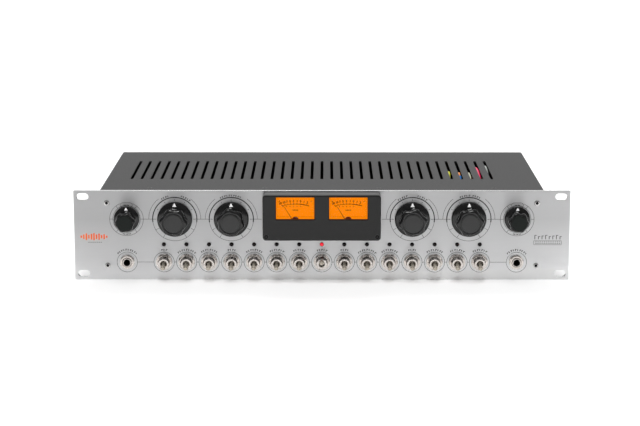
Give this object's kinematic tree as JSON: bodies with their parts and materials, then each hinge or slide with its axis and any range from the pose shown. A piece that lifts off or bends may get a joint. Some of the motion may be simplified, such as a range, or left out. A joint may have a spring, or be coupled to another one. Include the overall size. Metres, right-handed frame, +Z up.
{
  "type": "microphone preamp",
  "caption": "Rack-mount valve microphone preamp: silver panel with fluted knobs, toggle switches and amber needle meters on a slotted dark steel case.",
  "frame": {"origin": "centre of the bounding box in plan, at the level of the underside", "axes": "+X to the right as seen from the front, +Y from the front panel to the rear, +Z up"},
  "size_m": [0.4826, 0.266, 0.0881],
  "materials": {
    "panel_aluminium": "satin",
    "case_paint": "fine textured powder coat",
    "bezel_plastic": "satin",
    "lens": "polished",
    "dial": "backlit",
    "switch_nickel": "plated",
    "lever_nickel": "polished",
    "board": "satin",
    "transformer_tape": "taped winding",
    "transformer_steel": "satin",
    "valve_glass": "clear",
    "jack_plastic": "moulded",
    "connector_plastic": "moulded",
    "capacitor_sleeve": "shrink sleeve",
    "knob_plastic": "gloss",
    "needle": "matt",
    "latch_metal": "satin"
  },
  "bodies": {
    "case": {"front_panel": "panel_aluminium", "chassis_tray": "case_paint", "top_cover": "case_paint", "rear_panel": "case_paint", "meter_bezel": "bezel_plastic", "meter_lens_left": "lens", "meter_lens_right": "lens", "meter_case_left": "dial", "meter_case_right": "dial", "switch_board": "switch_nickel", "control_board": "board", "main_board": "board", "power_transformer": "transformer_tape", "input_transformer_1": "transformer_steel", "input_transformer_2": "transformer_steel", "output_transformer_1": "transformer_steel", "output_transformer_2": "transformer_steel", "tube_1": "valve_glass", "tube_2": "valve_glass", "tube_3": "valve_glass", "tube_4": "valve_glass", "instrument_jack_1": "jack_plastic", "instrument_jack_2": "jack_plastic", "xlr_input_1": "connector_plastic", "xlr_input_2": "connector_plastic", "xlr_output_1": "connector_plastic", "xlr_output_2": "connector_plastic", "power_inlet": "connector_plastic", "filter_capacitor": "capacitor_sleeve"},
    "toggle_lever_01": {"toggle_lever_01": "lever_nickel"},
    "toggle_lever_02": {"toggle_lever_02": "lever_nickel"},
    "toggle_lever_03": {"toggle_lever_03": "lever_nickel"},
    "toggle_lever_04": {"toggle_lever_04": "lever_nickel"},
    "toggle_lever_05": {"toggle_lever_05": "lever_nickel"},
    "toggle_lever_06": {"toggle_lever_06": "lever_nickel"},
    "toggle_lever_07": {"toggle_lever_07": "lever_nickel"},
    "toggle_lever_08": {"toggle_lever_08": "lever_nickel"},
    "toggle_lever_09": {"toggle_lever_09": "lever_nickel"},
    "toggle_lever_10": {"toggle_lever_10": "lever_nickel"},
    "toggle_lever_11": {"toggle_lever_11": "lever_nickel"},
    "toggle_lever_12": {"toggle_lever_12": "lever_nickel"},
    "toggle_lever_13": {"toggle_lever_13": "lever_nickel"},
    "toggle_lever_14": {"toggle_lever_14": "lever_nickel"},
    "toggle_lever_15": {"toggle_lever_15": "lever_nickel"},
    "knob_1": {"knob_skirt_1": "knob_plastic", "knob_grip_1": "knob_plastic"},
    "knob_2": {"knob_skirt_2": "knob_plastic", "knob_grip_2": "knob_plastic"},
    "knob_3": {"knob_skirt_3": "knob_plastic", "knob_grip_3": "knob_plastic"},
    "knob_4": {"knob_skirt_4": "knob_plastic", "knob_grip_4": "knob_plastic"},
    "knob_5": {"knob_skirt_5": "knob_plastic", "knob_grip_5": "knob_plastic"},
    "knob_6": {"knob_skirt_6": "knob_plastic", "knob_grip_6": "knob_plastic"},
    "vu_needle_left": {"vu_needle_left": "needle"},
    "vu_needle_right": {"vu_needle_right": "needle"},
    "xlr_latch_1": {"xlr_latch_1": "latch_metal"},
    "xlr_latch_2": {"xlr_latch_2": "latch_metal"}
  },
  "joints": [
    {"name": "toggle_01", "type": "hinge", "parent": "case", "child": "toggle_lever_01", "pos_m": [-0.154, -0.11575, 0.0173], "axis": [-1, 0, 0], "range_deg": [0, 27]},
    {"name": "toggle_02", "type": "hinge", "parent": "case", "child": "toggle_lever_02", "pos_m": [-0.132, -0.11575, 0.0173], "axis": [-1, 0, 0], "range_deg": [0, 27]},
    {"name": "toggle_03", "type": "hinge", "parent": "case", "child": "toggle_lever_03", "pos_m": [-0.11, -0.11575, 0.0173], "axis": [-1, 0, 0], "range_deg": [0, 27]},
    {"name": "toggle_04", "type": "hinge", "parent": "case", "child": "toggle_lever_04", "pos_m": [-0.088, -0.11575, 0.0173], "axis": [-1, 0, 0], "range_deg": [0, 27]},
    {"name": "toggle_05", "type": "hinge", "parent": "case", "child": "toggle_lever_05", "pos_m": [-0.066, -0.11575, 0.0173], "axis": [-1, 0, 0], "range_deg": [0, 27]},
    {"name": "toggle_06", "type": "hinge", "parent": "case", "child": "toggle_lever_06", "pos_m": [-0.044, -0.11575, 0.0173], "axis": [-1, 0, 0], "range_deg": [0, 27]},
    {"name": "toggle_07", "type": "hinge", "parent": "case", "child": "toggle_lever_07", "pos_m": [-0.022, -0.11575, 0.0173], "axis": [-1, 0, 0], "range_deg": [0, 27]},
    {"name": "toggle_08", "type": "hinge", "parent": "case", "child": "toggle_lever_08", "pos_m": [0, -0.11575, 0.0173], "axis": [-1, 0, 0], "range_deg": [-27, 0]},
    {"name": "toggle_09", "type": "hinge", "parent": "case", "child": "toggle_lever_09", "pos_m": [0.022, -0.11575, 0.0173], "axis": [-1, 0, 0], "range_deg": [0, 27]},
    {"name": "toggle_10", "type": "hinge", "parent": "case", "child": "toggle_lever_10", "pos_m": [0.044, -0.11575, 0.0173], "axis": [-1, 0, 0], "range_deg": [0, 27]},
    {"name": "toggle_11", "type": "hinge", "parent": "case", "child": "toggle_lever_11", "pos_m": [0.066, -0.11575, 0.0173], "axis": [-1, 0, 0], "range_deg": [0, 27]},
    {"name": "toggle_12", "type": "hinge", "parent": "case", "child": "toggle_lever_12", "pos_m": [0.088, -0.11575, 0.0173], "axis": [-1, 0, 0], "range_deg": [0, 27]},
    {"name": "toggle_13", "type": "hinge", "parent": "case", "child": "toggle_lever_13", "pos_m": [0.11, -0.11575, 0.0173], "axis": [-1, 0, 0], "range_deg": [0, 27]},
    {"name": "toggle_14", "type": "hinge", "parent": "case", "child": "toggle_lever_14", "pos_m": [0.132, -0.11575, 0.0173], "axis": [-1, 0, 0], "range_deg": [0, 27]},
    {"name": "toggle_15", "type": "hinge", "parent": "case", "child": "toggle_lever_15", "pos_m": [0.154, -0.11575, 0.0173], "axis": [-1, 0, 0], "range_deg": [0, 27]},
    {"name": "knob_1_turn", "type": "hinge", "parent": "case", "child": "knob_1", "pos_m": [-0.19, -0.11075, 0.06], "axis": [0, 1, 0], "range_deg": [-150, 150]},
    {"name": "knob_2_turn", "type": "hinge", "parent": "case", "child": "knob_2", "pos_m": [-0.143, -0.11075, 0.06], "axis": [0, 1, 0], "range_deg": [-150, 150]},
    {"name": "knob_3_turn", "type": "hinge", "parent": "case", "child": "knob_3", "pos_m": [-0.088, -0.11075, 0.06], "axis": [0, 1, 0], "range_deg": [-150, 150]},
    {"name": "knob_4_turn", "type": "hinge", "parent": "case", "child": "knob_4", "pos_m": [0.088, -0.11075, 0.06], "axis": [0, 1, 0], "range_deg": [-150, 150]},
    {"name": "knob_5_turn", "type": "hinge", "parent": "case", "child": "knob_5", "pos_m": [0.143, -0.11075, 0.06], "axis": [0, 1, 0], "range_deg": [-150, 150]},
    {"name": "knob_6_turn", "type": "hinge", "parent": "case", "child": "knob_6", "pos_m": [0.19, -0.11075, 0.06], "axis": [0, 1, 0], "range_deg": [-150, 150]},
    {"name": "needle_left", "type": "hinge", "parent": "case", "child": "vu_needle_left", "pos_m": [-0.0256, -0.12255, 0.057], "axis": [0, 1, 0], "range_deg": [0, 62], "stiffness_Nm_per_rad": 0.00002, "springref_deg": -8.59},
    {"name": "needle_right", "type": "hinge", "parent": "case", "child": "vu_needle_right", "pos_m": [0.0256, -0.12255, 0.057], "axis": [0, 1, 0], "range_deg": [0, 62], "stiffness_Nm_per_rad": 0.00002, "springref_deg": -8.59},
    {"name": "latch_1_push", "type": "slide", "parent": "case", "child": "xlr_latch_1", "axis": [0, -1, 0], "range_m": [0, 0.002], "stiffness_N_per_m": 250},
    {"name": "latch_2_push", "type": "slide", "parent": "case", "child": "xlr_latch_2", "axis": [0, -1, 0], "range_m": [0, 0.002], "stiffness_N_per_m": 250}
  ]
}
